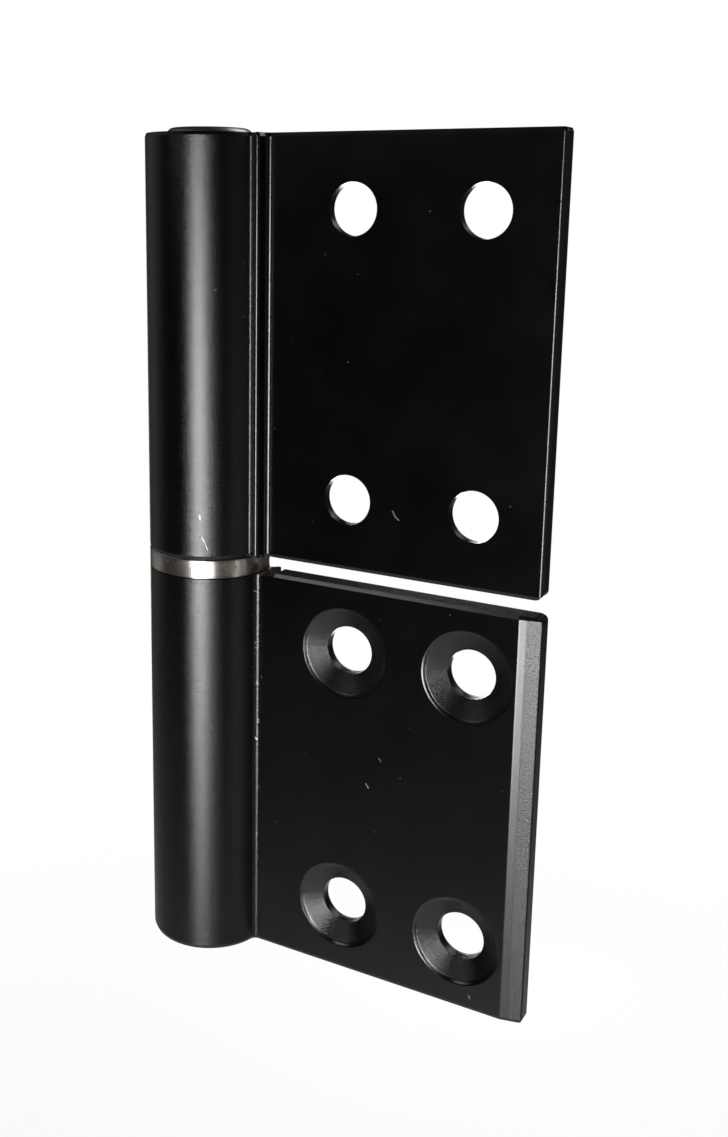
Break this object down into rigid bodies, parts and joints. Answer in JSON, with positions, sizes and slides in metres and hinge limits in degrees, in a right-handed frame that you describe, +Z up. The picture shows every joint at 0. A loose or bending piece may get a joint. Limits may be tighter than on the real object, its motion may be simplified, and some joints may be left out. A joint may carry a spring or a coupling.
{
  "type": "lift-off flag hinge",
  "caption": "Black lift-off flag hinge: a flat countersunk leaf on each barrel, a steel pin and a bright thrust washer between the barrels.",
  "frame": {"origin": "middle of the lower leaf's screw pattern, on its back face", "axes": "+Z up along the pin, +X from the pin towards the free edges of the leaves, +Y out of the lower leaf's back face"},
  "size_m": [0.0608, 0.018, 0.1208],
  "materials": {
    "black_leaf": "satin black coating",
    "bright_washer": "turned and polished",
    "steel_pin": "ground"
  },
  "bodies": {
    "lower_leaf": {"lower_leaf": "black_leaf", "hinge_pin": "steel_pin"},
    "thrust_washer": {"thrust_washer": "bright_washer"},
    "upper_leaf": {"upper_leaf": "black_leaf"}
  },
  "joints": [
    {"name": "swing", "type": "hinge", "parent": "lower_leaf", "child": "thrust_washer", "pos_m": [-0.03265, -0.0016, 0], "axis": [0, 0, 1], "continuous": true},
    {"name": "lift_off", "type": "slide", "parent": "thrust_washer", "child": "upper_leaf", "axis": [0, 0, 1], "range_m": [0, 0.065]}
  ]
}
